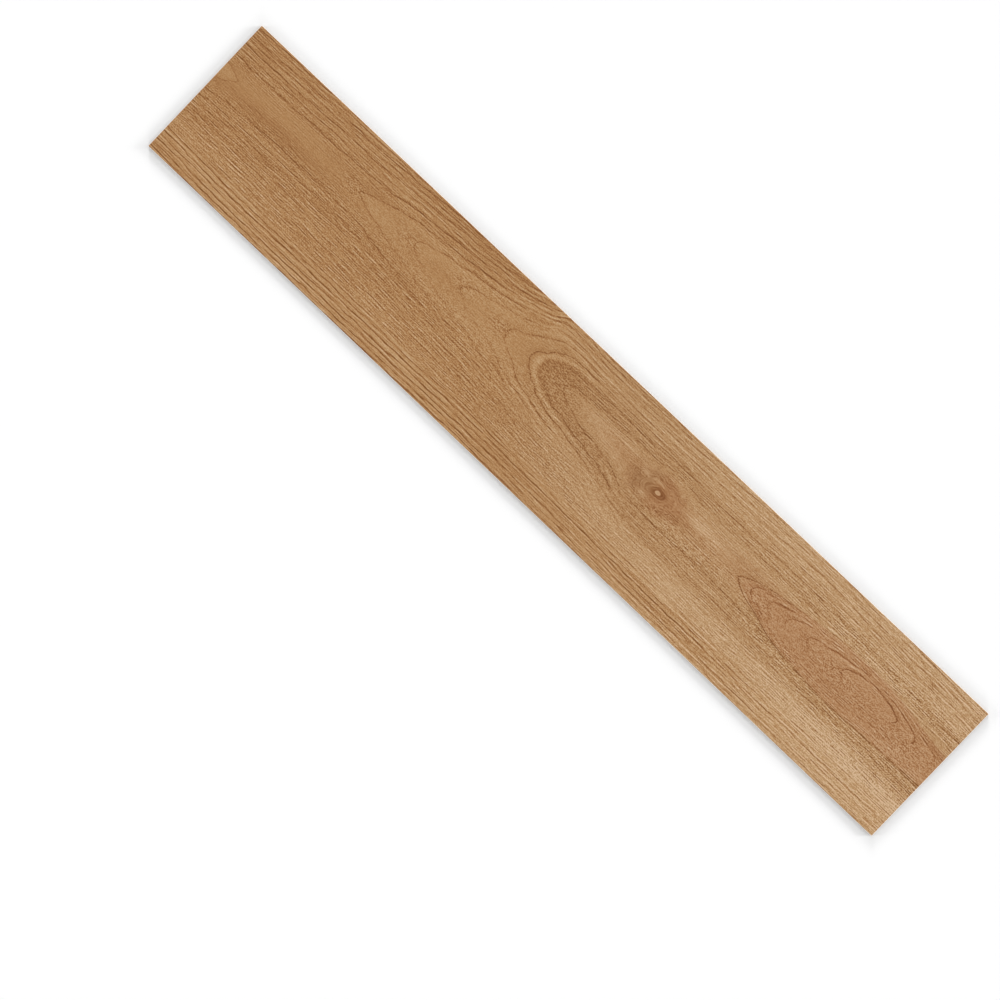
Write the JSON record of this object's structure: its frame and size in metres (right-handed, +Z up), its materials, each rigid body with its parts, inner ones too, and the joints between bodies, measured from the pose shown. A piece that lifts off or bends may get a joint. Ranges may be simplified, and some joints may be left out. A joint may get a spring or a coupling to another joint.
{
  "type": "self-adhesive vinyl floor plank",
  "caption": "Flat rectangular vinyl floor plank with an embossed oak-grain printed face, square butt edges and a flat self-adhesive back.",
  "frame": {"origin": "middle of the flat adhesive back, which lies on the floor", "axes": "+X along the plank's length and its grain, +Y across its width, +Z up out of the printed face"},
  "size_m": [0.9144, 0.1524, 0.002],
  "materials": {
    "printed_vinyl": "satin"
  },
  "bodies": {
    "root": {"plank": "printed_vinyl"}
  },
  "joints": []
}
